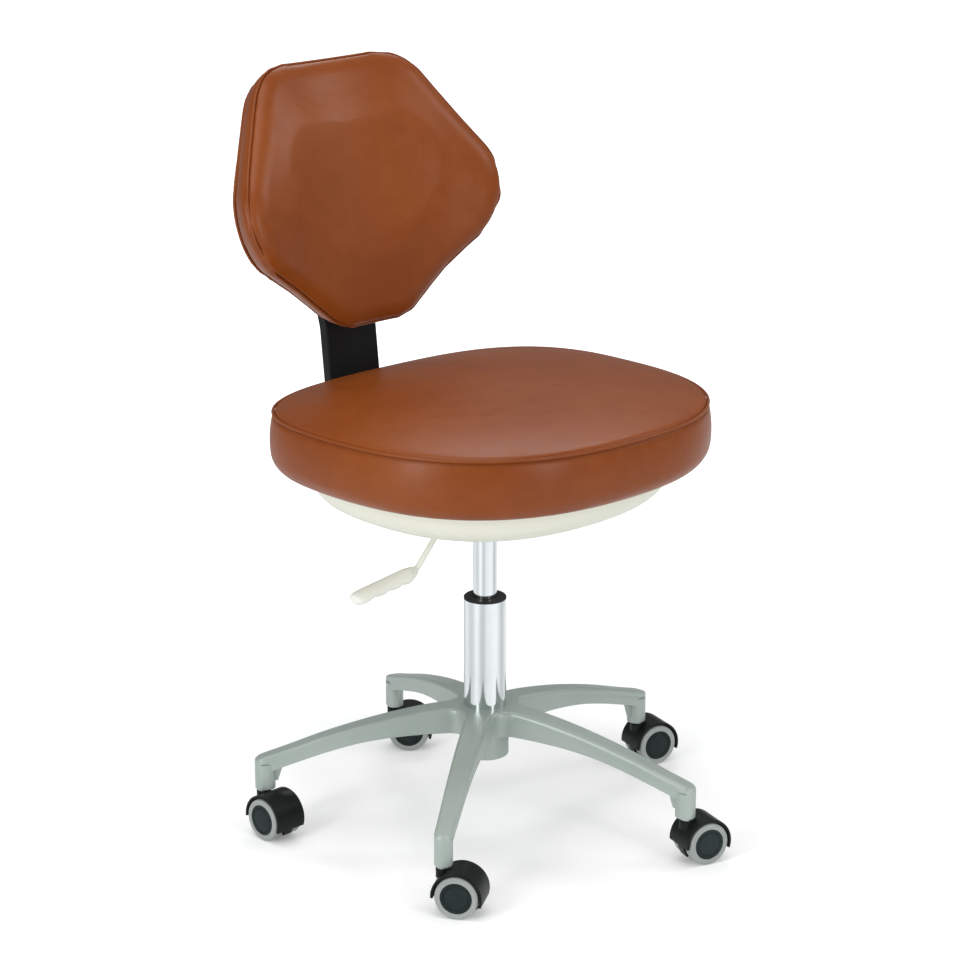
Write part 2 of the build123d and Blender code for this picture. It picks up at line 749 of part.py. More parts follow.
def cover_screws():
    floor = seat_bottom - cover_depth
    screws = []
    for x, y in cover_posts():
        head = rod(cover_screw_head_radius, floor + cover_screw_recess - cover_screw_head_height,
                   floor + cover_screw_recess)
        shank = rod(cover_screw_radius, floor + cover_screw_recess, seat_bottom + cover_screw_bite)
        screws.append((Pos(x, y, 0) * (head + shank)).solid())
    return Compound(children=screws)


def cover_screw_holes():
    return [Pos(x, y, 0) * rod(cover_screw_radius, seat_bottom - 1, seat_bottom + cover_screw_bite)
            for x, y in cover_posts()]


# ---------------------------------------------------------------- backrest bar


def clamp_knob():
    """Star-grip head, standing on its outer face, which is towards -Z."""
    plan = Sketch() + Circle(knob_radius)
    for k in range(knob_lobe_count):
        lobe = Pos(knob_radius, 0) * Circle(knob_lobe_radius)
        plan += around(lobe, 360.0 / knob_lobe_count * k)
    plan = fillet(plan.vertices(), knob_lobe_radius * 0.6)
    head = extrude(plan, knob_head_height)
    return chamfer(head.edges().group_by(Axis.Z)[0] + head.edges().group_by(Axis.Z)[-1], knob_edge)


def placed_knob(tip_to_wall):
    """The knob with a stud long enough to reach through its wall."""
    stand = tip_to_wall + knob_stand_off
    stud = Pos(0, 0, -stand / 2) * Cylinder(knob_stud_radius, stand)
    return Pos(0, 0, -stand - knob_head_height) * clamp_knob() + stud


def depth_knob():
    tip = bar_foot_z - bar_thickness / 2 - contact_gap
    wall = channel_wall + turning_gap * 4
    return Pos(0, depth_knob_y, tip) * placed_knob(wall)


def bar_route():
    """Middle line of the bent bar in the YZ plane: under the seat, up behind it, along the backrest."""
    recline = radians(back_recline)
    lean = radians(bar_lower_lean)
    knee_y = back_foot_y + back_bar_middle * cos(recline)
    knee_z = back_foot_z - back_bar_middle * sin(recline)
    heel_y = knee_y - (knee_z - bar_foot_z) * tan(lean)
    top_y = knee_y + bar_top * sin(recline)
    top_z = knee_z + bar_top * cos(recline)
    return ((bar_inner_end, bar_foot_z), (heel_y, bar_foot_z), (knee_y, knee_z), (top_y, top_z))


def back_bar():
    points = [(0, y, z) for y, z in bar_route()]
    path = FilletPolyline(*points, radius=[bar_bend_radius, bar_knee_radius])
    start = Plane(origin=points[0], x_dir=(1, 0, 0), z_dir=(0, 1, 0))
    return sweep(start * RectangleRounded(bar_width, bar_thickness, bar_edge_radius), path=path)


# ---------------------------------------------------------------- backrest


def back_outline(inset):
    """The backrest's outline from the front, on the XZ plane, before it is wrapped."""
    right = [(x, z) for x, z in back_corners]
    left = [(-x, z) for x, z in reversed(back_corners)]
    radii = list(back_corner_radii) + list(reversed(back_corner_radii))
    outline = make_face(FilletPolyline(*right, *left, radius=radii, close=True))
    if inset:
        outline = offset(outline, -inset)
    return extrude(Plane.XZ * outline, back_wrap_radius, both=True)


def back_layer(front, back):
    """A curved slab that wraps towards the sitter, between two depths behind the sewn edge."""
    inner = back_wrap_radius + front
    outer = back_wrap_radius + back
    height = 900.0
    shell = Cylinder(outer, height) - Cylinder(inner, height)
    half = Pos(0, outer, 0) * Box(outer * 3, outer * 2, height)
    return Pos(0, -back_wrap_radius, 0) * (shell & half)


def back_slab(inset, front, back):
    return back_outline(inset) & back_layer(front, back)


def back_board():
    board = back_slab(back_board_inset, back_pad_depth - back_board_thickness, back_pad_depth)
    return back_place * (board - back_bolt_holes())


def back_cushion():
    pad = back_slab(0, -back_front_crown, back_pad_depth)
    front_face = pad.faces().sort_by(SortBy.AREA)[-2:].sort_by(Axis.Y)[0]
    pad = fillet(front_face.edges(), back_front_edge_radius)
    pocket = back_slab(back_board_inset, back_pad_depth - back_board_thickness, back_pad_depth + 5)
    return back_place * (pad - pocket)


def back_rear_panel():
    rear = back_pad_depth + back_panel_thickness
    panel = back_slab(back_panel_inset, back_pad_depth, rear)
    return back_place * (panel - back_bolt_holes())


def back_bolt_spots():
    return [(x, bracket_centre + z) for x in (-back_bolt_x, back_bolt_x) for z in (-back_bolt_z, back_bolt_z)]


def bolt_along_y(radius, front, back):
    return Pos(0, (front + back) / 2, 0) * Rot(90, 0, 0) * Cylinder(radius, back - front)


def flange_back():
    return back_pad_depth + back_panel_thickness + back_bar_gap - contact_gap


def back_bolt_holes():
    return [Pos(x, 0, z) * bolt_along_y(back_bolt_radius, back_pad_depth - back_bolt_bite, flange_back())
            for x, z in back_bolt_spots()]


def back_bolts():
    bolts = []
    for x, z in back_bolt_spots():
        shank = bolt_along_y(back_bolt_radius, back_pad_depth - back_bolt_bite, flange_back())
        head = bolt_along_y(back_bolt_head_radius, flange_back(), flange_back() + back_bolt_head_height)
        bolts.append((back_place * Pos(x, 0, z) * (shank + head)).solid())
    return Compound(children=bolts)


def back_bracket():
    """Moulded sleeve that slides on the bar, with a flange bolted through the rear panel."""
    flange_plan = Pos(0, bracket_centre) * RectangleRounded(
        bracket_flange_width, bracket_flange_height, bracket_flange_corner)
    depth = flange_back() - back_pad_depth + 6
    flange = Pos(0, flange_back(), 0) * extrude(Plane.XZ * flange_plan, depth)
    sleeve_width = bar_width + bracket_wall * 2
    sleeve_back = back_bar_front + bar_thickness + bracket_rear_wall
    sleeve_front = flange_back() - 1
    sleeve = Pos(0, (sleeve_front + sleeve_back) / 2, bracket_centre) * Box(
        sleeve_width, sleeve_back - sleeve_front, bracket_height)
    rear_edges = sleeve.edges().group_by(Axis.Y)[-1]
    sleeve = fillet(rear_edges, 3.5)
    passage = Pos(0, back_bar_middle, bracket_centre) * Box(
        bar_width + turning_gap * 4, bar_thickness + contact_gap * 2, bracket_flange_height * 3)
    panel_side = Pos(0, -back_wrap_radius, bracket_centre) * Cylinder(
        back_wrap_radius + back_pad_depth + back_panel_thickness, bracket_flange_height * 2)
    stud = Pos(0, 0, bracket_centre) * bolt_along_y(knob_stud_radius + turning_gap, back_bar_middle, sleeve_back + 5)
    bracket = flange + sleeve - passage - panel_side - stud
    return back_place * (bracket - back_bolt_holes())


def height_knob():
    tip = back_bar_front + bar_thickness + contact_gap
    wall = bracket_rear_wall - contact_gap
    knob = Rot(90, 0, 0) * placed_knob(wall)
    return back_place * Pos(0, tip, bracket_centre) * knob


# ---------------------------------------------------------------- write every piece


def write_casters():
    hood = caster_hood()
    axle = caster_axle()
    pieces = {"hood": hood, "axle": axle}
    for side, name in ((1, "left"), (-1, "right")):
        pieces[name + "_hub"] = wheel_on_side(wheel_hub(), side)
        pieces[name + "_tyre"] = wheel_on_side(wheel_tyre(), side)
    for number, angle in enumerate(arm_angles(), start=1):
        heading = caster_headings[number - 1]
        centre = Pos(socket_radius * cos(radians(angle)), socket_radius * sin(radians(angle)), 0)
        for name, piece in pieces.items():
            save("caster_" + str(number) + "_" + name, centre * Rot(0, 0, heading) * piece)


def main():
    os.makedirs("parts", exist_ok=True)
    write_casters()
    save("base_star", base_star())
    save("caster_stems", at_sockets(caster_stem()))
    save("caster_grip_rings", at_sockets(caster_grip_ring()))
    save("column_tube", column_tube())
    save("guide_bush", guide_bush())
    save("thrust_bearing", thrust_bearing())
    save("retaining_clip", retaining_clip())
    save("piston_rod", piston_rod())
    save("gas_cylinder", gas_cylinder())
    save("cylinder_plugs", cylinder_plugs())
    save("valve_pin", valve_pin())
    save("seat_plate", seat_plate())
    save("column_socket", column_socket())
    save("bar_channel", bar_channel())
    save("lever_rod", lever_rod())
    save("lever_grip", lever_grip())
    save("lever_pin", lever_pin())
    save("under_seat_cover", under_seat_cover())
    save("cover_screws", cover_screws())
    save("seat_board", seat_board() - cover_screw_holes())
    save("seat_cushion", seat_cushion())
    save("seat_bolts", seat_bolts())
    save("back_bar", back_bar())
    save("depth_knob", depth_knob())
    save("back_bracket", back_bracket())
    save("height_knob", height_knob())
    save("back_board", back_board())
    save("back_rear_panel", back_rear_panel())
    save("back_cushion", back_cushion())
    save("back_bolts", back_bolts())


main()
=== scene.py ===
import json
import math
import bpy
import numpy as np
from mathutils import Matrix, Vector, kdtree


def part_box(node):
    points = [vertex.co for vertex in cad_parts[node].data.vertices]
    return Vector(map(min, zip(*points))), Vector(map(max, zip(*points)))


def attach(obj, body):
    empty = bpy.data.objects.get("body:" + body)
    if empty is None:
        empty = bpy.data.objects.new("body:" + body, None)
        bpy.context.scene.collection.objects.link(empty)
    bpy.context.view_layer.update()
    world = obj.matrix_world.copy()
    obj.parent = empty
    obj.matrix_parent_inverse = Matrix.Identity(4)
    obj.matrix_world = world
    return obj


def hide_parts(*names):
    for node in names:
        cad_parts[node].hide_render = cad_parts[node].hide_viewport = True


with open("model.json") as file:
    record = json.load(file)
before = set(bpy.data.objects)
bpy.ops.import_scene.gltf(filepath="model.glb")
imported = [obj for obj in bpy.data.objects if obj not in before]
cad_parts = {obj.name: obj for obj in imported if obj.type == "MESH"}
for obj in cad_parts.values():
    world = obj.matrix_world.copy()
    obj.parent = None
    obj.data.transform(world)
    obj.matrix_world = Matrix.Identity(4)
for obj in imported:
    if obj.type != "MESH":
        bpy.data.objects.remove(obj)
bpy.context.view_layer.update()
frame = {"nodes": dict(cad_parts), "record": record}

scene = bpy.context.scene
scene.view_settings.view_transform = "Standard"

mm = 0.001
seamStep = 2 * mm


# ---- small tools for working on one piece at a time

def pickOnly(thing):
    if bpy.context.object and bpy.context.object.mode != "OBJECT":
        bpy.ops.object.mode_set(mode="OBJECT")
    bpy.ops.object.select_all(action="DESELECT")
    thing.select_set(True)
    bpy.context.view_layer.objects.active = thing


def copyOfPart(node, name):
    # the part's loose triangles are merged on the copy, the part itself is left alone
    piece = frame["nodes"][node].copy()
    piece.data = piece.data.copy()
    piece.parent = None
    piece.matrix_world = Matrix.Identity(4)
    piece.name = name
    piece.data.name = name
    piece.data.materials.clear()
    scene.collection.objects.link(piece)
    pickOnly(piece)
    bpy.ops.object.mode_set(mode="EDIT")
    bpy.ops.mesh.select_all(action="SELECT")
    bpy.ops.mesh.remove_doubles(threshold=0.02 * mm)
    bpy.ops.mesh.normals_make_consistent(inside=False)
    bpy.ops.object.mode_set(mode="OBJECT")
    return piece


def applyModifier(piece, modifier):
    pickOnly(piece)
    bpy.ops.object.modifier_apply(modifier=modifier.name)


def pointsOf(piece):
    flat = np.empty(len(piece.data.vertices) * 3)
    piece.data.vertices.foreach_get("co", flat)
    return flat.reshape(-1, 3)


def movePoints(piece, points):
    piece.data.vertices.foreach_set("co", np.ascontiguousarray(points, dtype=np.float64).ravel())
    piece.data.update()


def smoothShade(piece, degrees=None):
    pickOnly(piece)
    if degrees is None:
        bpy.ops.object.shade_smooth()
    else:
        bpy.ops.object.shade_smooth_by_angle(angle=math.radians(degrees))


def joinAll(things, name):
    bpy.ops.object.select_all(action="DESELECT")
    for thing in things:
        thing.select_set(True)
    bpy.context.view_layer.objects.active = things[0]
    bpy.ops.object.join()
    joined = bpy.context.object
    joined.name = name
    joined.data.name = name
    return joined


# ---- seams: a closed line round a cushion, read from the edge of its own part

def orderedRing(points, centre, sideways, upwards):
    flat = (points - centre) @ np.array([sideways, upwards]).T
    order = np.argsort(np.arctan2(flat[:, 1], flat[:, 0]))
    ring = points[order]
    gap = np.linalg.norm(ring - np.roll(ring, 1, axis=0), axis=1)
    return ring[gap > 0.1 * mm]


def evenRing(ring, spacing, rounds=4):
    closed = np.vstack([ring, ring[:1]])
    lengths = np.linalg.norm(np.diff(closed, axis=0), axis=1)
    along = np.concatenate([[0], np.cumsum(lengths)])
    count = int(along[-1] / spacing)
    at = np.linspace(0, along[-1], count, endpoint=False)
    even = np.stack([np.interp(at, along, closed[:, k]) for k in range(3)], axis=1)
    for _ in range(rounds):
        even = (np.roll(even, 1, axis=0) + even * 2 + np.roll(even, -1, axis=0)) / 4
    return even


def ringDistance(points, ring):
    tree = kdtree.KDTree(len(ring))
    for k, p in enumerate(ring):
        tree.insert(p, k)
    tree.balance()
    return np.array([tree.find(p)[2] for p in points])


def nearestOnRing(points, ring):
    tree = kdtree.KDTree(len(ring))
    for k, p in enumerate(ring):
        tree.insert(p, k)
    tree.balance()
    return np.array([tree.find(p)[1] for p in points])


def outwardsOf(ring, facing):
    # level with the cushion, square to the seam
    tangent = np.roll(ring, -1, axis=0) - np.roll(ring, 1, axis=0)
    outwards = np.cross(tangent, facing)
    outwards -= np.outer(outwards @ facing, facing)
    outwards /= np.linalg.norm(outwards, axis=1)[:, None]
    if ((ring - ring.mean(axis=0)) * outwards).sum() < 0:
        outwards = -outwards
    return outwards


def pipingAlong(ring, radius, name):
    line = bpy.data.curves.new(name, "CURVE")
    line.dimensions = "3D"
    spline = line.splines.new("POLY")
    spline.points.add(len(ring) - 1)
    for point, place in zip(spline.points, ring):
        point.co = (*place, 1)
    spline.use_cyclic_u = True
    line.bevel_depth = radius
    line.bevel_resolution = 3
    cord = bpy.data.objects.new(name, line)
    scene.collection.objects.link(cord)
    pickOnly(cord)
    bpy.ops.object.convert(target="MESH")
    cord = bpy.context.object
    smoothShade(cord)
    return cord


# ---- padding: the cushion's part is remeshed and blown up between its seams

def remeshed(piece, voxel):
    pickOnly(piece)
    piece.data.remesh_voxel_size = voxel
    piece.data.remesh_voxel_adaptivity = 0
    # the CAD part's normals and sharp edges mean nothing on the new mesh
    bpy.ops.mesh.customdata_custom_splitnormals_clear()
    piece.data.use_remesh_preserve_attributes = False
    bpy.ops.object.voxel_remesh()
    for left in ("sharp_edge", "sharp_face", "custom_normal"):
        if left in piece.data.attributes:
            piece.data.attributes.remove(piece.data.attributes[left])


def puffedUp(piece, held, style):
    start = pointsOf(piece)
    pins = piece.vertex_groups.new(name="held")
    for index in np.nonzero(held > 0)[0]:
        pins.add([int(index)], float(held[index]), "REPLACE")
    cloth = piece.modifiers.new("puff", "CLOTH")
    cloth.settings.quality = 5
    cloth.settings.mass = 0.3
    cloth.settings.tension_stiffness = style["stretch"]
    cloth.settings.compression_stiffness = style["stretch"]
    cloth.settings.shear_stiffness = style["stretch"] / 2
    cloth.settings.bending_stiffness = style["bend"]
    cloth.settings.use_pressure = True
    cloth.settings.uniform_pressure_force = style["pressure"]
    cloth.settings.effector_weights.gravity = 0
    cloth.settings.vertex_group_mass = "held"
    cloth.collision_settings.use_collision = False
    cloth.point_cache.frame_start = 1
    cloth.point_cache.frame_end = style["frames"]
    for frameNumber in range(1, style["frames"] + 1):
        scene.frame_set(frameNumber)
    applyModifier(piece, cloth)
    # only the swelling is kept, ripples finer than the padding are evened out
    moved = pointsOf(piece) - start
    ends = np.empty(len(piece.data.edges) * 2, dtype=np.int64)
    piece.data.edges.foreach_get("vertices", ends)
    first, second = ends[0::2], ends[1::2]
    neighbours = np.bincount(ends, minlength=len(moved))[:, None]
    for _ in range(style["calm"]):
        gathered = np.stack([np.bincount(first, moved[second, k], len(moved))
                             + np.bincount(second, moved[first, k], len(moved)) for k in range(3)], axis=1)
        moved = gathered / neighbours * (1 - held)[:, None]
    distance = np.linalg.norm(moved, axis=1)
    share = np.minimum(1, style["cap"] / np.maximum(distance, 1e-9))
    movePoints(piece, start + moved * share[:, None])
    scene.frame_set(1)
    piece.vertex_groups.clear()


def heldNear(near, style):
    # fully held beside the sewing, free past the hold width
    held = np.clip(1 - near / style["holdWidth"], 0, 1)
    held[near < style["holdWidth"] * style["heldFully"]] = 1
    return held


def takenIn(piece, amount):
    shrink = piece.modifiers.new("start", "DISPLACE")
    shrink.strength = amount
    shrink.mid_level = 0
    applyModifier(piece, shrink)


def softened(piece, rounds):
    smooth = piece.modifiers.new("soften", "SMOOTH")
    smooth.iterations = rounds
    smooth.factor = 0.5
    applyModifier(piece, smooth)


def subdivided(piece):
    finer = piece.modifiers.new("finer", "SUBSURF")
    finer.levels = 1
    finer.render_levels = 1
    applyModifier(piece, finer)


def tuckedSeam(piece, ring, outwards, style):
    # leather is pulled in along the sewing on both sides of the piping
    points = pointsOf(piece)
    near = ringDistance(points, ring)
    pull = style["tuck"] * np.exp(-(near / style["tuckWidth"]) ** 2)
    movePoints(piece, points - outwards[nearestOnRing(points, ring)] * pull[:, None])


# ---- seat cushion

seatStyle = {
    "voxel": 5 * mm,
    "start": -1.5 * mm,      # taken in before it swells
    "pressure": 4.0,
    "stretch": 12.0,
    "bend": 2.0,
    "frames": 20,
    "cap": 7 * mm,           # furthest that a point may swell
    "calm": 60,              # rounds of evening the swelling out
    "seamBelowTop": 9.5 * mm,
    "rollWidth": 80 * mm,    # the top falls away to the seam over this width
    "rimFind": 0.15 * mm,
    "holdWidth": 7 * mm,
    "heldFully": 0.6,        # share of the hold width that can't move at all
    "baseHeight": 16 * mm,   # below this, past the base edge, the pad lies on its board
    "baseEdge": 28 * mm,
    "underside": 3 * mm,
    "piping": 1.7 * mm,
    "pipingIn": 1.7 * mm,
    "tuck": 2.6 * mm,
    "tuckWidth": 4.0 * mm,
    "crown": 11 * mm,
    "bulge": 4.2 * mm,       # side band between the seam and the underside
    "bulgeHigh": 1.2,        # over 1 is fullest above the middle of the band
    "bulgeReach": 40 * mm,
}


def makeSeat():
    style = seatStyle
    low, high = (Vector(c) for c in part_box("seat_cushion"))
    seamHeight = high.z - style["seamBelowTop"]
    middle = np.array([(low.x + high.x) / 2, (low.y + high.y) / 2, seamHeight])
    upwards = np.array([0, 0, 1])
    cushion = copyOfPart("seat_cushion", "seatCushion")
    rim = pointsOf(cushion)
    rim = rim[np.abs(rim[:, 2] - seamHeight) < style["rimFind"]]
    ring = evenRing(orderedRing(rim, middle, (1, 0, 0), (0, 1, 0)), seamStep)
    outwards = outwardsOf(ring, upwards)
    remeshed(cushion, style["voxel"])
    takenIn(cushion, style["start"])

    # the top rolls over to the seam, carries a low crown, and the side band is full
    points = pointsOf(cushion)
    level = points * (1, 1, 0) + (0, 0, seamHeight)
    inside = ringDistance(level, ring)
    side = outwards[nearestOnRing(level, ring)]
    above = np.clip(points[:, 2] - seamHeight, 0, None)
    roll = np.clip(1 - inside / style["rollWidth"], 0, 1)
    upShift = above * (np.sqrt(1 - roll ** 2) - 1)
    half = (np.array(high) - np.array(low)) / 2
    spread = np.hypot((points[:, 0] - middle[0]) / half[0], (points[:, 1] - middle[1]) / half[1])
    topPanel = np.clip((points[:, 2] - seamHeight) / style["seamBelowTop"], 0, 1)
    upShift += topPanel * style["crown"] * np.clip(1 - spread ** 2, 0, 1)
    share = np.clip((points[:, 2] - low.z) / (seamHeight - low.z), 0, 1)
    nearEdge = np.clip(1 - inside / style["bulgeReach"], 0, 1)
    outShift = style["bulge"] * np.sin(math.pi * share ** style["bulgeHigh"]) * nearEdge
    movePoints(cushion, points + side * outShift[:, None] + np.outer(upShift, upwards))

    points = pointsOf(cushion)
    held = heldNear(ringDistance(points, ring), style)
    held[(points[:, 2] < low.z + style["baseHeight"]) & (inside > style["baseEdge"])] = 1
    held[points[:, 2] < low.z + style["underside"]] = 1
    puffedUp(cushion, held, style)
    subdivided(cushion)
    softened(cushion, 4)
    tuckedSeam(cushion, ring, outwards, style)
    smoothShade(cushion)
    piping = pipingAlong(ring - outwards * style["pipingIn"], style["piping"], "seatPiping")
    return cushion, piping


seatCushion, seatPiping = makeSeat()
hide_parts("seat_cushion")
print("seat cushion:", len(seatCushion.data.polygons), "faces")


# ---- backrest cushion and its rear panel

backStyle = {
    "voxel": 4.5 * mm,
    "start": -1.2 * mm,
    "pressure": 4.0,
    "stretch": 12.0,
    "bend": 2.0,
    "frames": 20,
    "cap": 5 * mm,
    "calm": 80,
    "recline": math.radians(16),
    "wrap": 365 * mm,        # radius of the sewn edge round the sitter
    "padDepth": 44 * mm,     # sewn edge to the back of the pad
    "seamLayer": 13 * mm,    # layer of the front seam, and of the rear one
    "rearLayer": 43 * mm,
    "shoulderHeight": 20 * mm,
    "rimFind": 0.25 * mm,
    "holdWidth": 6 * mm,
    "heldFully": 0.6,
    "piping": 1.6 * mm,
    "pipingIn": 1.6 * mm,
    "tuck": 2.4 * mm,
    "tuckWidth": 3.6 * mm,
    "crown": 3 * mm,         # the middle of the front stands out
    "fall": 8 * mm,          # and it falls away to the seam over the reach
    "reach": 85 * mm,
    "fullness": 5.5 * mm,    # front and side band outside the frame, most at the sides
    "topFullness": 0.15,     # share of it at the top and the bottom
    "taper": 12 * mm,        # the side band draws in towards the rear
    "taperLate": 1.6,        # over 1 keeps the band full for longer
    "edgeReach": 25 * mm,    # how far in from the seam the band's shaping fades
    "edgeHold": 1.6,
    "panelInset": 4 * mm,
    "frameLayer": 28 * mm,   # behind this, past the frame edge, the pad lies on its board
    "frameEdge": 9 * mm,
    "boardLayer": 38 * mm,
    "panelVoxel": 3 * mm,
    "panelPuff": 2.4 * mm,
    "panelMerge": 0.9 * mm,
    "panelReach": 40 * mm,
    "panelRoll": 7 * mm,     # rounding along the panel's edge
}

leanSin = math.sin(backStyle["recline"])
leanCos = math.cos(backStyle["recline"])
backwards = np.array([0, leanCos, -leanSin])  # square to the reclined backrest
upAlong = np.array([0, leanSin, leanCos])


def backLayers(origin):
    # the pad's layers are curved round the sitter: depth of a point, and moves along and between layers
    wrap = backStyle["wrap"]

    def layerOf(where):
        return np.hypot(where[:, 0], where @ backwards - origin + wrap) - wrap

    def onLayer(where, layer):
        depth = np.sqrt((wrap + layer) ** 2 - where[:, 0] ** 2) - wrap + origin
        return where + np.outer(depth - where @ backwards, backwards)

    def rearwards(where):
        # unit direction from the sitter through each point
        across = where @ backwards - origin + wrap
        radius = np.hypot(where[:, 0], across)
        return np.outer(where[:, 0] / radius, (1, 0, 0)) + np.outer(across / radius, backwards)

    return layerOf, onLayer, rearwards


def makeBackrest():
    style = backStyle
    cushion = copyOfPart("back_cushion", "backCushion")
    points = pointsOf(cushion)
    middle = (points.max(axis=0) + points.min(axis=0)) / 2
    layerOf, onLayer, rearwards = backLayers((points @ backwards).max() - style["padDepth"])
    rim = points[np.abs(layerOf(points) - style["seamLayer"]) < style["rimFind"]]
    ring = evenRing(orderedRing(rim, middle, (1, 0, 0), tuple(upAlong)), seamStep)
    outwards = outwardsOf(ring, backwards)
    sideways = np.abs(outwards[:, 0])
    full = style["fullness"] * (style["topFullness"] + (1 - style["topFullness"]) * sideways)
    rearRing = onLayer(ring, style["rearLayer"]) + outwards * (full - style["taper"])[:, None]
    remeshed(cushion, style["voxel"])
    takenIn(cushion, style["start"])

    # the front rolls over to the seam and is a little fuller in the middle
    points = pointsOf(cushion)
    flat = onLayer(points, style["seamLayer"])
    inside = ringDistance(flat, ring)
    nearest = nearestOnRing(flat, ring)
    side = outwards[nearest]
    layer = layerOf(points)
    above = np.clip((style["seamLayer"] - layer) / style["shoulderHeight"], 0, 1)
    lost = (1 - np.clip(inside / style["reach"], 0, 1)) ** 2
    frontShift = above * (style["crown"] * (1 - lost) - style["fall"] * lost)
    share = np.clip((layer - style["seamLayer"]) / (style["rearLayer"] - style["seamLayer"]), 0, 1)
    nearEdge = np.clip(style["edgeHold"] - inside / style["edgeReach"], 0, 1)
    outShift = (full[nearest] - style["taper"] * share ** style["taperLate"]) * nearEdge
    movePoints(cushion, points + side * outShift[:, None] - rearwards(points) * frontShift[:, None])
    ring = ring + outwards * full[:, None]

    points = pointsOf(cushion)
    near = np.minimum(ringDistance(points, ring), ringDistance(points, rearRing))
    held = heldNear(near, style)
    held[layerOf(points) > style["boardLayer"]] = 1
    held[(layerOf(points) > style["frameLayer"]) & (inside > style["frameEdge"])] = 1
    puffedUp(cushion, held, style)
    subdivided(cushion)
    softened(cushion, 4)
    tuckedSeam(cushion, ring, outwards, style)
    tuckedSeam(cushion, rearRing, outwards, style)
    smoothShade(cushion)

    inwards = outwards * style["pipingIn"]
    front = pipingAlong(ring - inwards, style["piping"], "frontWelt")
    rear = pipingAlong(rearRing - inwards, style["piping"], "rearWelt")
    return cushion, joinAll([front, rear], "backPiping"), layerOf, onLayer


def edgeDistance(points, middle):
    # how far inside the panel's outline, measured towards its middle
    across = points[:, 0] - middle[0]
    along = (points - middle) @ upAlong
    reach = np.hypot(across, along)
    slices = 180
    bins = ((np.arctan2(along, across) + math.pi) / (2 * math.pi) * slices).astype(int) % slices
    edge = np.zeros(slices)
    np.maximum.at(edge, bins, reach)
    edge = (np.roll(edge, 1) + edge + np.roll(edge, -1)) / 3
    towards = (np.outer(across, (1, 0, 0)) + np.outer(along, upAlong)) / np.maximum(reach, 1e-9)[:, None]
    return np.clip(edge[bins] - reach, 0, None), towards


def makeRearPanel(layerOf, onLayer):
    # thin padding over the board's back, full in the middle
    style = backStyle
    panel = copyOfPart("back_rear_panel", "backRearPanel")
    points = pointsOf(panel)
    low, high = layerOf(points).min(), layerOf(points).max()
    middle = (points.max(axis=0) + points.min(axis=0)) / 2
    remeshed(panel, style["panelVoxel"])
    # laid on its curved layers, crowded points merged, then evened, three times over
    for _ in range(3):
        points = pointsOf(panel)
        inside = edgeDistance(points, middle)[0]
        share = np.clip(inside / style["panelReach"], 0, 1)
        roll = np.clip(1 - inside / style["panelRoll"], 0, 1)
        outer = high - (high - low) * 0.5 * roll ** 2 + style["panelPuff"] * share * (2 - share)
        layer = layerOf(points)
        rear = layer > (low + high) / 2
        front = ~rear & (inside > style["panelRoll"])
        points[rear] = onLayer(points[rear], outer[rear])
        points[front] = onLayer(points[front], low)
        movePoints(panel, points)
        pickOnly(panel)
        bpy.ops.object.mode_set(mode="EDIT")
        bpy.ops.mesh.select_all(action="SELECT")
        bpy.ops.mesh.remove_doubles(threshold=style["panelMerge"])
        bpy.ops.object.mode_set(mode="OBJECT")
        softened(panel, 5)
    points = pointsOf(panel)
    inside, towards = edgeDistance(points, middle)
    share = np.clip(inside / style["panelReach"], 0, 1)
    movePoints(panel, points - towards * (style["panelInset"] * (1 - share))[:, None])
    smoothShade(panel)
    return panel


backCushion, backPiping, backLayer, onBackLayer = makeBackrest()
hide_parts("back_cushion")
backRearPanel = makeRearPanel(backLayer, onBackLayer)
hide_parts("back_rear_panel")
print("backrest:", len(backCushion.data.polygons) + len(backRearPanel.data.polygons), "faces")


# ---- lever grip: a moulded paddle with finger scallops

gripStyle = {
    "sides": 24,
    "droop": math.radians(7.6),
    "rootIn": 1.0 * mm,      # root of the grip inside its part, and down from the part's top
    "rootDown": 6.9 * mm,
    "shorter": 3.2 * mm,
    # share of the length, half width, half height, lift of the middle line
    "stations": [
        (0.00, 5.0, 5.0, 0.3),
        (0.05, 6.4, 6.0, 0.2),
        (0.11, 9.8, 7.6, -0.4),
        (0.17, 11.2, 9.2, -1.3),
        (0.24, 11.0, 8.6, -1.0),
        (0.28, 10.6, 7.0, 0.3),
        (0.33, 11.2, 8.4, -0.8),
        (0.40, 11.4, 8.6, -1.0),
        (0.46, 11.1, 7.9, -0.5),
        (0.50, 10.8, 6.6, 0.6),
        (0.55, 11.3, 7.9, -0.5),
        (0.63, 11.5, 8.2, -0.8),
        (0.70, 11.1, 7.2, 0.1),
        (0.74, 11.1, 6.7, 0.5),
        (0.80, 11.4, 7.6, -0.4),
        (0.88, 11.4, 8.0, -0.7),
        (0.94, 10.8, 7.6, -0.5),
        (0.98, 9.0, 6.3, -0.2),
        (1.00, 5.6, 4.0, 0.0),
    ],
}


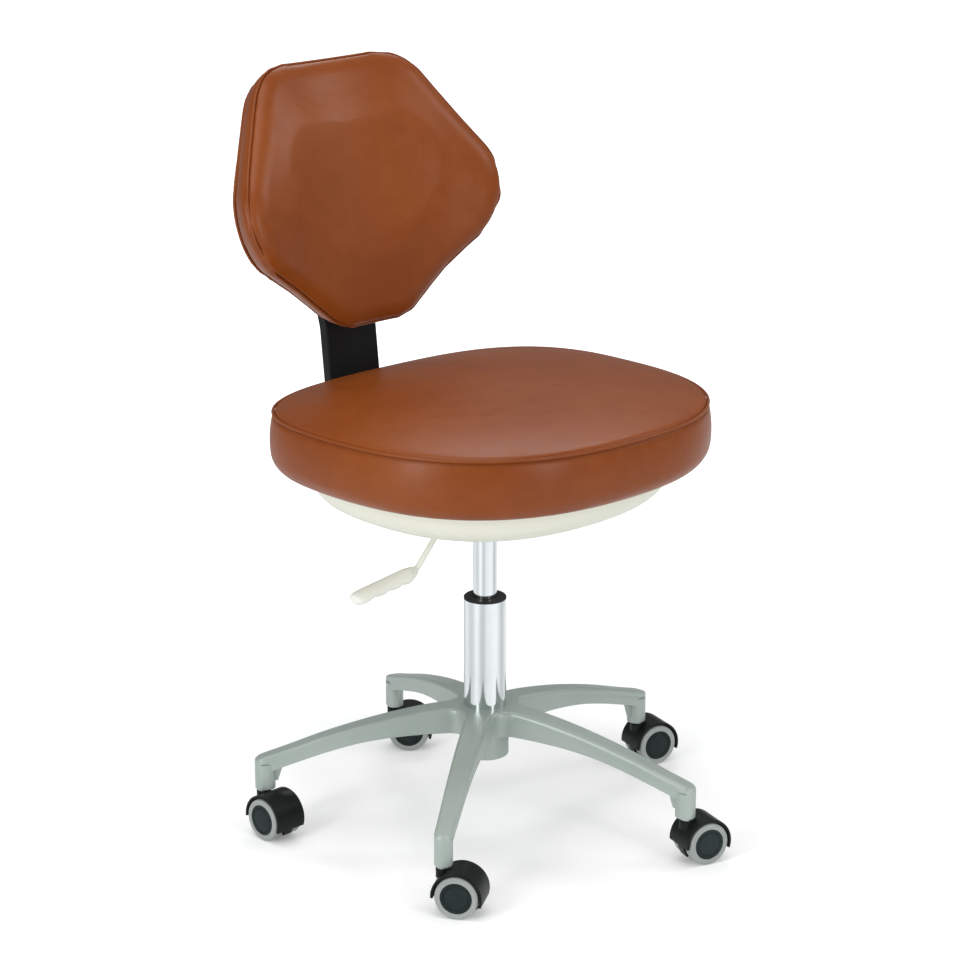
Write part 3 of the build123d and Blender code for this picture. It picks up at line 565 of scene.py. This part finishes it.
def makeGrip():
    low, high = (Vector(c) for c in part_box("lever_grip"))
    droop = gripStyle["droop"]
    along = Vector((-math.cos(droop), 0, -math.sin(droop)))
    up = Vector((-math.sin(droop), 0, math.cos(droop)))
    start = Vector((high.x - gripStyle["rootIn"], 0, high.z - gripStyle["rootDown"]))
    length = (high.x - low.x) / math.cos(droop) - gripStyle["shorter"]
    bpy.ops.object.select_all(action="DESELECT")
    bpy.ops.mesh.primitive_circle_add(vertices=gripStyle["sides"], radius=1, fill_type="NGON")
    grip = bpy.context.object
    grip.name = "leverGrip"
    first = gripStyle["stations"][0]
    grip.data.transform(Matrix.Diagonal((first[1] * mm, first[2] * mm, 1, 1)))
    turn = Matrix((Vector((0, 1, 0)), up, along)).transposed().to_4x4()
    bpy.ops.object.mode_set(mode="EDIT")
    bpy.ops.mesh.select_all(action="SELECT")
    before = first
    for station in gripStyle["stations"][1:]:
        step = (station[0] - before[0]) * length
        lift = (station[3] - before[3]) * mm
        bpy.ops.mesh.extrude_region_move(TRANSFORM_OT_translate={"value": (0, lift, step)})
        centre = (0, station[3] * mm, station[0] * length)
        growth = (station[1] / before[1], station[2] / before[2], 1)
        bpy.ops.transform.resize(value=growth, center_override=centre)
        before = station
    bpy.ops.mesh.select_all(action="SELECT")
    bpy.ops.mesh.normals_make_consistent(inside=False)
    bpy.ops.object.mode_set(mode="OBJECT")
    grip.data.transform(Matrix.Translation(start) @ turn)
    grip.data.update()
    rounder = grip.modifiers.new("rounder", "SUBSURF")
    rounder.levels = 2
    rounder.render_levels = 2
    applyModifier(grip, rounder)
    smoothShade(grip)
    return grip


leverGrip = makeGrip()
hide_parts("lever_grip")
print("lever grip:", len(leverGrip.data.polygons), "faces")


# ---- shared effects for the materials

def newGroup(name, inputs, outputs):
    group = bpy.data.node_groups.new(name, "ShaderNodeTree")
    for label, kind, value in inputs:
        socket = group.interface.new_socket(name=label, in_out="INPUT", socket_type=kind)
        if value is not None:
            socket.default_value = value
    for label, kind in outputs:
        group.interface.new_socket(name=label, in_out="OUTPUT", socket_type=kind)
    enter = group.nodes.new("NodeGroupInput")
    leave = group.nodes.new("NodeGroupOutput")
    return group, enter, leave


def addNode(tree, kind, **settings):
    node = tree.nodes.new(kind)
    for key, value in settings.items():
        setattr(node, key, value)
    return node


def mathNode(tree, operation, first, second):
    node = addNode(tree, "ShaderNodeMath", operation=operation)
    for index, value in enumerate((first, second)):
        if isinstance(value, (int, float)):
            node.inputs[index].default_value = value
        else:
            tree.links.new(value, node.inputs[index])
    return node.outputs[0]


def noiseNode(tree, vector, scale, detail):
    node = addNode(tree, "ShaderNodeTexNoise")
    node.inputs["Detail"].default_value = detail
    node.inputs["Roughness"].default_value = 0.55
    tree.links.new(vector, node.inputs["Vector"])
    if isinstance(scale, (int, float)):
        node.inputs["Scale"].default_value = scale
    else:
        tree.links.new(scale, node.inputs["Scale"])
    return node.outputs["Fac"]


def rangeNode(tree, value, low, high, toLow=0.0, toHigh=1.0):
    node = addNode(tree, "ShaderNodeMapRange")
    tree.links.new(value, node.inputs["Value"])
    for label, number in (("From Min", low), ("From Max", high), ("To Min", toLow), ("To Max", toHigh)):
        if isinstance(number, (int, float)):
            node.inputs[label].default_value = number
        else:
            tree.links.new(number, node.inputs[label])
    return node.outputs["Result"]


def makeGrainGroup():
    # leather: small pebbles between fine creases, with a slow swell under them
    group, enter, leave = newGroup("leatherGrain", [
        ("Vector", "NodeSocketVector", None),
        ("Pebbles", "NodeSocketFloat", 420.0),
        ("Creases", "NodeSocketFloat", 1.0),
    ], [("Height", "NodeSocketFloat"), ("Crease", "NodeSocketFloat")])
    vector = enter.outputs["Vector"]
    warp = addNode(group, "ShaderNodeTexNoise")
    warp.inputs["Scale"].default_value = 160.0
    group.links.new(vector, warp.inputs["Vector"])
    shift = addNode(group, "ShaderNodeVectorMath", operation="SCALE")
    shift.inputs["Scale"].default_value = 0.0022
    group.links.new(warp.outputs["Color"], shift.inputs[0])
    bent = addNode(group, "ShaderNodeVectorMath", operation="ADD")
    group.links.new(vector, bent.inputs[0])
    group.links.new(shift.outputs[0], bent.inputs[1])
    cells = addNode(group, "ShaderNodeTexVoronoi", feature="DISTANCE_TO_EDGE")
    group.links.new(bent.outputs[0], cells.inputs["Vector"])
    group.links.new(enter.outputs["Pebbles"], cells.inputs["Scale"])
    crease = rangeNode(group, cells.outputs["Distance"], 0.0, 0.16)
    fine = noiseNode(group, vector, 900.0, 2.0)
    swell = noiseNode(group, vector, 26.0, 2.0)
    fineShare = mathNode(group, "MULTIPLY", fine, 0.35)
    swellShare = mathNode(group, "MULTIPLY", swell, 0.8)
    creaseShare = mathNode(group, "MULTIPLY", crease, enter.outputs["Creases"])
    height = mathNode(group, "ADD", mathNode(group, "ADD", creaseShare, fineShare), swellShare)
    group.links.new(height, leave.inputs["Height"])
    group.links.new(crease, leave.inputs["Crease"])
    return group


def makeMottleGroup():
    # slow and quick variation, 0 to 1, for colour and gloss
    group, enter, leave = newGroup("mottle", [
        ("Vector", "NodeSocketVector", None),
        ("Patches", "NodeSocketFloat", 7.0),
        ("Specks", "NodeSocketFloat", 60.0),
        ("Speck Share", "NodeSocketFloat", 0.35),
    ], [("Fac", "NodeSocketFloat"), ("Specks", "NodeSocketFloat")])
    slow = noiseNode(group, enter.outputs["Vector"], enter.outputs["Patches"], 3.0)
    quickNoise = noiseNode(group, enter.outputs["Vector"], enter.outputs["Specks"], 2.0)
    slow = rangeNode(group, slow, 0.3, 0.7)
    quickNoise = rangeNode(group, quickNoise, 0.3, 0.7)
    mixed = addNode(group, "ShaderNodeMix", data_type="FLOAT")
    group.links.new(enter.outputs["Speck Share"], mixed.inputs[0])
    group.links.new(slow, mixed.inputs[2])
    group.links.new(quickNoise, mixed.inputs[3])
    group.links.new(mixed.outputs[0], leave.inputs["Fac"])
    group.links.new(quickNoise, leave.inputs["Specks"])
    return group


def makeSkinGroup():
    # moulded or coated surface: fine orange peel
    group, enter, leave = newGroup("surfaceSkin", [
        ("Vector", "NodeSocketVector", None),
        ("Fineness", "NodeSocketFloat", 700.0),
        ("Waves", "NodeSocketFloat", 40.0),
    ], [("Height", "NodeSocketFloat")])
    fine = noiseNode(group, enter.outputs["Vector"], enter.outputs["Fineness"], 3.0)
    waves = noiseNode(group, enter.outputs["Vector"], enter.outputs["Waves"], 1.0)
    height = mathNode(group, "ADD", mathNode(group, "MULTIPLY", fine, 0.5), waves)
    group.links.new(height, leave.inputs["Height"])
    return group


grainGroup = makeGrainGroup()
mottleGroup = makeMottleGroup()
skinGroup = makeSkinGroup()
print("shared effects: 3 groups")


# ---- materials

def startMaterial(name):
    material = bpy.data.materials.new(name)
    material.use_nodes = True
    tree = material.node_tree
    shader = tree.nodes["Principled BSDF"]
    place = addNode(tree, "ShaderNodeTexCoord").outputs["Object"]
    return material, tree, shader, place


def groupNode(tree, group, place, **values):
    node = addNode(tree, "ShaderNodeGroup")
    node.node_tree = group
    tree.links.new(place, node.inputs["Vector"])
    for label, value in values.items():
        node.inputs[label.replace("_", " ")].default_value = value
    return node


def tintNode(tree, factor, first, second, socket):
    mixed = addNode(tree, "ShaderNodeMix", data_type="RGBA")
    tree.links.new(factor, mixed.inputs[0])
    mixed.inputs[6].default_value = (*first, 1)
    mixed.inputs[7].default_value = (*second, 1)
    tree.links.new(mixed.outputs[2], socket)


def bumpNode(tree, height, shader, strength, distance):
    bump = addNode(tree, "ShaderNodeBump")
    bump.inputs["Strength"].default_value = strength
    bump.inputs["Distance"].default_value = distance
    tree.links.new(height, bump.inputs["Height"])
    tree.links.new(bump.outputs[0], shader.inputs["Normal"])


leatherLook = {
    "light": (0.250, 0.059, 0.0078),
    "deep": (0.198, 0.041, 0.0043),
    "creaseShade": 0.96,
    "gloss": (0.33, 0.40),
    "pebbles": 430.0,
    "bump": 0.09,
    "bumpDepth": 0.3 * mm,
}


def leatherMaterial():
    look = leatherLook
    material, tree, shader, place = startMaterial("tanLeather")
    mottle = groupNode(tree, mottleGroup, place, Patches=6.5, Specks=55.0, Speck_Share=0.3)
    grain = groupNode(tree, grainGroup, place, Pebbles=look["pebbles"], Creases=0.7)
    hide = addNode(tree, "ShaderNodeMix", data_type="RGBA")
    tree.links.new(mottle.outputs["Fac"], hide.inputs[0])
    hide.inputs[6].default_value = (*look["deep"], 1)
    hide.inputs[7].default_value = (*look["light"], 1)
    # painted shade: the colour is darkened a little along the grain's creases
    darker = addNode(tree, "ShaderNodeMix", data_type="RGBA", blend_type="MULTIPLY")
    darker.inputs[0].default_value = 1.0
    shade = rangeNode(tree, grain.outputs["Crease"], 0.0, 1.0, look["creaseShade"], 1.0)
    tree.links.new(hide.outputs[2], darker.inputs[6])
    tree.links.new(shade, darker.inputs[7])
    tree.links.new(darker.outputs[2], shader.inputs["Base Color"])
    gloss = rangeNode(tree, mottle.outputs["Specks"], 0.0, 1.0, *look["gloss"])
    tree.links.new(gloss, shader.inputs["Roughness"])
    bumpNode(tree, grain.outputs["Height"], shader, look["bump"], look["bumpDepth"])
    shader.inputs["Specular IOR Level"].default_value = 0.25
    shader.inputs["Coat Weight"].default_value = 0.03
    shader.inputs["Coat Roughness"].default_value = 0.25
    return material


# painted, moulded and plated finishes
coatedLooks = {
    "basePaint": dict(
        first=(0.36, 0.42, 0.385), second=(0.43, 0.49, 0.455),
        gloss=(0.34, 0.44), metal=0.3, patches=9.0, specks=900.0, speckShare=0.5,
        fine=800.0, waves=60.0, bump=0.10, depth=0.2 * mm,
    ),
    "creamPlastic": dict(
        first=(0.70, 0.705, 0.605), second=(0.74, 0.74, 0.645),
        gloss=(0.36, 0.46), metal=0.0, patches=5.0, specks=300.0, speckShare=0.3,
        fine=900.0, waves=30.0, bump=0.10, depth=0.15 * mm,
    ),
    "paleCream": dict(
        first=(0.775, 0.775, 0.70), second=(0.81, 0.81, 0.74),
        gloss=(0.36, 0.46), metal=0.0, patches=8.0, specks=300.0, speckShare=0.3,
        fine=900.0, waves=30.0, bump=0.10, depth=0.15 * mm,
    ),
    "glossBlack": dict(
        first=(0.005, 0.007, 0.007), second=(0.010, 0.012, 0.012),
        gloss=(0.3, 0.42), metal=0.0, patches=12.0, specks=250.0, speckShare=0.4,
        fine=600.0, waves=90.0, bump=0.06, depth=0.1 * mm,
    ),
    "matteBlack": dict(
        first=(0.012, 0.013, 0.013), second=(0.024, 0.025, 0.025),
        gloss=(0.42, 0.56), metal=0.0, patches=12.0, specks=400.0, speckShare=0.5,
        fine=700.0, waves=60.0, bump=0.15, depth=0.15 * mm,
    ),
    "barCoat": dict(
        first=(0.006, 0.007, 0.0075), second=(0.014, 0.015, 0.016),
        gloss=(0.34, 0.46), metal=0.0, patches=10.0, specks=900.0, speckShare=0.6,
        fine=1100.0, waves=50.0, bump=0.22, depth=0.15 * mm,
    ),
    "capPlastic": dict(
        first=(0.012, 0.020, 0.019), second=(0.022, 0.034, 0.032),
        gloss=(0.34, 0.46), metal=0.0, patches=20.0, specks=500.0, speckShare=0.5,
        fine=900.0, waves=120.0, bump=0.12, depth=0.12 * mm,
    ),
    "tyreRubber": dict(
        first=(0.27, 0.295, 0.285), second=(0.37, 0.39, 0.38),
        gloss=(0.50, 0.64), metal=0.0, patches=25.0, specks=420.0, speckShare=0.5,
        fine=800.0, waves=150.0, bump=0.2, depth=0.15 * mm,
    ),
    "zincSteel": dict(
        first=(0.50, 0.50, 0.49), second=(0.66, 0.66, 0.65),
        gloss=(0.24, 0.38), metal=1.0, patches=30.0, specks=600.0, speckShare=0.4,
        fine=900.0, waves=200.0, bump=0.08, depth=0.1 * mm,
    ),
}


def coatedMaterial(name):
    look = coatedLooks[name]
    material, tree, shader, place = startMaterial(name)
    mottle = groupNode(tree, mottleGroup, place, Patches=look["patches"], Specks=look["specks"],
                       Speck_Share=look["speckShare"])
    skin = groupNode(tree, skinGroup, place, Fineness=look["fine"], Waves=look["waves"])
    tintNode(tree, mottle.outputs["Fac"], look["first"], look["second"], shader.inputs["Base Color"])
    gloss = rangeNode(tree, mottle.outputs["Fac"], 0.0, 1.0, *look["gloss"])
    tree.links.new(gloss, shader.inputs["Roughness"])
    bumpNode(tree, skin.outputs["Height"], shader, look["bump"], look["depth"])
    shader.inputs["Metallic"].default_value = look["metal"]
    dark = look["second"][1] < 0.06
    shader.inputs["Specular IOR Level"].default_value = 0.18 if dark else 0.45
    return material


def chromeMaterial():
    # polished plate with the faintest smears of handling
    material, tree, shader, place = startMaterial("polishedChrome")
    mottle = groupNode(tree, mottleGroup, place, Patches=14.0, Specks=120.0, Speck_Share=0.3)
    tintNode(tree, mottle.outputs["Fac"], (0.74, 0.785, 0.795), (0.82, 0.86, 0.87),
             shader.inputs["Base Color"])
    gloss = rangeNode(tree, mottle.outputs["Fac"], 0.0, 1.0, 0.045, 0.11)
    tree.links.new(gloss, shader.inputs["Roughness"])
    shader.inputs["Metallic"].default_value = 1.0
    return material


def plywoodMaterial():
    # thin layers seen on the edge, long grain on the faces
    material, tree, shader, place = startMaterial("plywood")
    stretch = addNode(tree, "ShaderNodeMapping")
    stretch.inputs["Scale"].default_value = (6.0, 90.0, 400.0)
    tree.links.new(place, stretch.inputs["Vector"])
    layers = addNode(tree, "ShaderNodeTexWave", wave_type="BANDS", bands_direction="Z")
    layers.inputs["Scale"].default_value = 1.3
    layers.inputs["Distortion"].default_value = 2.0
    tree.links.new(stretch.outputs[0], layers.inputs["Vector"])
    tintNode(tree, layers.outputs["Fac"], (0.46, 0.30, 0.16), (0.62, 0.45, 0.27), shader.inputs["Base Color"])
    skin = groupNode(tree, skinGroup, place, Fineness=500.0, Waves=60.0)
    bumpNode(tree, skin.outputs["Height"], shader, 0.2, 0.2 * mm)
    shader.inputs["Roughness"].default_value = 0.62
    return material


finishes = {name: coatedMaterial(name) for name in coatedLooks}
finishes["leather"] = leatherMaterial()
finishes["chrome"] = chromeMaterial()
finishes["plywood"] = plywoodMaterial()

finishOfSlot = {
    "caster_black": "glossBlack",
    "steel": "zincSteel",
    "wheel_cap": "capPlastic",
    "tyre_grey": "tyreRubber",
    "base_silver": "basePaint",
    "column_chrome": "chrome",
    "bush_black": "matteBlack",
    "mechanism_black": "barCoat",
    "lever_cream": "paleCream",
    "grip_cream": "paleCream",
    "cover_cream": "creamPlastic",
    "plywood": "plywood",
    "tan_leather": "leather",
    "bar_black": "barCoat",
    "knob_black": "matteBlack",
    "bracket_black": "matteBlack",
}

for part in frame["record"]["subparts"]:
    shown = frame["nodes"][part["node"]]
    finish = finishes[finishOfSlot[part["material_slot"]]]
    for materialSlot in shown.material_slots:
        materialSlot.material = finish
print("materials:", len(finishes))

newPieces = [
    (seatCushion, "seat", "tan_leather"),
    (seatPiping, "seat", "tan_leather"),
    (backCushion, "backrest", "tan_leather"),
    (backPiping, "backrest", "tan_leather"),
    (backRearPanel, "backrest", "tan_leather"),
    (leverGrip, "lever", "grip_cream"),
]
for piece, body, slotName in newPieces:
    piece.data.materials.clear()
    piece.data.materials.append(finishes[finishOfSlot[slotName]])
    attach(piece, body)


# ---- floor, light and camera

studio = {
    "floorSize": 14.0,
    "floorDrop": 0.4 * mm,
    "paper": (0.93, 0.93, 0.925),
    "glowReach": (0.45, 2.6),
    "glow": (0.14, 0.8),
    "roomTint": (0.96, 0.98, 1.0),
    "backdrop": 1.05,         # strength of the room as the camera sees it
    "diffuse": 0.62,          # strength of the even light all round
    "reflected": 0.20,        # strength of the same room seen in shiny things
    # painted reflection: grey bands the floor shows only to shiny parts
    "reflectedStreaks": ((0.00, 0.90), (0.09, 0.60), (0.17, 0.86), (0.30, 0.96), (0.41, 0.62), (0.50, 0.90),
                (0.60, 0.98), (0.71, 0.66), (0.80, 0.95), (0.92, 0.70), (1.00, 0.90)),
}


def roundTheAxis(tree, vector, stops):
    # grey that changes with the bearing from the column, used as painted dark bands in reflections
    turn = addNode(tree, "ShaderNodeTexGradient", gradient_type="RADIAL")
    tree.links.new(vector, turn.inputs["Vector"])
    ramp = addNode(tree, "ShaderNodeValToRGB")
    ramp.color_ramp.interpolation = "EASE"
    while len(ramp.color_ramp.elements) < len(stops):
        ramp.color_ramp.elements.new(0.5)
    for element, (place, grey) in zip(ramp.color_ramp.elements, stops):
        element.position = place
        element.color = (grey, grey, grey, 1)
    tree.links.new(turn.outputs["Fac"], ramp.inputs["Fac"])
    return ramp.outputs["Color"]


def makeFloor():
    bpy.ops.object.select_all(action="DESELECT")
    bpy.ops.mesh.primitive_plane_add(size=studio["floorSize"], location=(0, 0, -studio["floorDrop"]))
    floor = bpy.context.object
    floor.name = "studioFloor"
    paint, tree, shader, place = startMaterial("paleFloor")
    shader.inputs["Roughness"].default_value = 0.7
    shader.inputs["Specular IOR Level"].default_value = 0.1
    path = addNode(tree, "ShaderNodeLightPath")
    # painted reflection: shiny parts see dark and light bands on the floor, the camera sees plain paper
    tone = addNode(tree, "ShaderNodeMix", data_type="RGBA")
    tree.links.new(path.outputs["Is Glossy Ray"], tone.inputs[0])
    tone.inputs[6].default_value = (*studio["paper"], 1)
    tree.links.new(roundTheAxis(tree, place, studio["reflectedStreaks"]), tone.inputs[7])
    tree.links.new(tone.outputs[2], shader.inputs["Base Color"])
    # the paper brightens away from the stool, as a lit backdrop does
    reach = addNode(tree, "ShaderNodeVectorMath", operation="LENGTH")
    tree.links.new(place, reach.inputs[0])
    glow = rangeNode(tree, reach.outputs["Value"], *studio["glowReach"], *studio["glow"])
    glow = mathNode(tree, "MULTIPLY", glow, path.outputs["Is Camera Ray"])
    shader.inputs["Emission Color"].default_value = (1, 1, 1, 1)
    tree.links.new(glow, shader.inputs["Emission Strength"])
    floor.data.materials.append(paint)
    return floor


def makeRoom():
    # even light for plain surfaces, dimmer in reflections, white behind everything
    world = bpy.data.worlds.new("studio")
    scene.world = world
    world.use_nodes = True
    room = world.node_tree
    plain = room.nodes["Background"]
    plain.inputs["Color"].default_value = (*studio["roomTint"], 1)
    path = addNode(room, "ShaderNodeLightPath")
    inShine = addNode(room, "ShaderNodeMix", data_type="FLOAT")
    room.links.new(path.outputs["Is Glossy Ray"], inShine.inputs[0])
    inShine.inputs[2].default_value = studio["diffuse"]
    inShine.inputs[3].default_value = studio["reflected"]
    seen = addNode(room, "ShaderNodeMix", data_type="FLOAT")
    room.links.new(path.outputs["Is Camera Ray"], seen.inputs[0])
    room.links.new(inShine.outputs[0], seen.inputs[2])
    seen.inputs[3].default_value = studio["backdrop"]
    room.links.new(seen.outputs[0], plain.inputs["Strength"])


# place, aim, size, power in watts
softboxes = [
    ("overhead", (-0.4, -0.1, 2.7), (0, 0, 0.4), (1.8, 1.4), 21),
    ("behindRight", (1.75, 1.4, 2.65), (0.1, -0.1, 0.5), (1.3, 0.35), 11),
    ("frontRight", (2.0, -1.3, 2.1), (0, 0.2, 0.75), (0.9, 0.9), 11),
    ("left", (-2.3, -0.2, 1.1), (0, 0, 0.6), (0.5, 1.8), 21),
    ("front", (-0.1, -3.4, 1.3), (0, 0, 0.65), (0.45, 1.8), 24),
]


def makeSoftboxes():
    for label, place, aim, size, power in softboxes:
        lamp = bpy.data.lights.new(label, "AREA")
        lamp.shape = "RECTANGLE"
        lamp.size, lamp.size_y = size
        lamp.energy = power
        box = bpy.data.objects.new(label, lamp)
        box.location = place
        box.rotation_euler = (Vector(aim) - Vector(place)).to_track_quat("-Z", "Y").to_euler()
        scene.collection.objects.link(box)


cameraStyle = {
    "azimuth": math.radians(-43.8),
    "pitch": math.radians(16.82),
    "distance": 3.523,
    "aim": (0, 0, 0.4226),
    "sideStep": -5.95 * mm,
    "lens": 114.4,
}


def makeCamera():
    turn, pitch = cameraStyle["azimuth"], cameraStyle["pitch"]
    back = Vector((math.sin(turn) * math.cos(pitch), -math.cos(turn) * math.cos(pitch), math.sin(pitch)))
    right = Vector((math.cos(turn), math.sin(turn), 0))
    camera = bpy.data.objects.new("camera", bpy.data.cameras.new("camera"))
    camera.data.lens = cameraStyle["lens"]
    camera.data.sensor_width = 36
    aim = Vector(cameraStyle["aim"])
    camera.location = aim + back * cameraStyle["distance"] + right * cameraStyle["sideStep"]
    camera.rotation_mode = "QUATERNION"
    camera.rotation_quaternion = (-back).to_track_quat("-Z", "Y")
    scene.collection.objects.link(camera)
    scene.camera = camera


floor = makeFloor()
makeRoom()
makeSoftboxes()
makeCamera()
print("floor, light and camera are up")
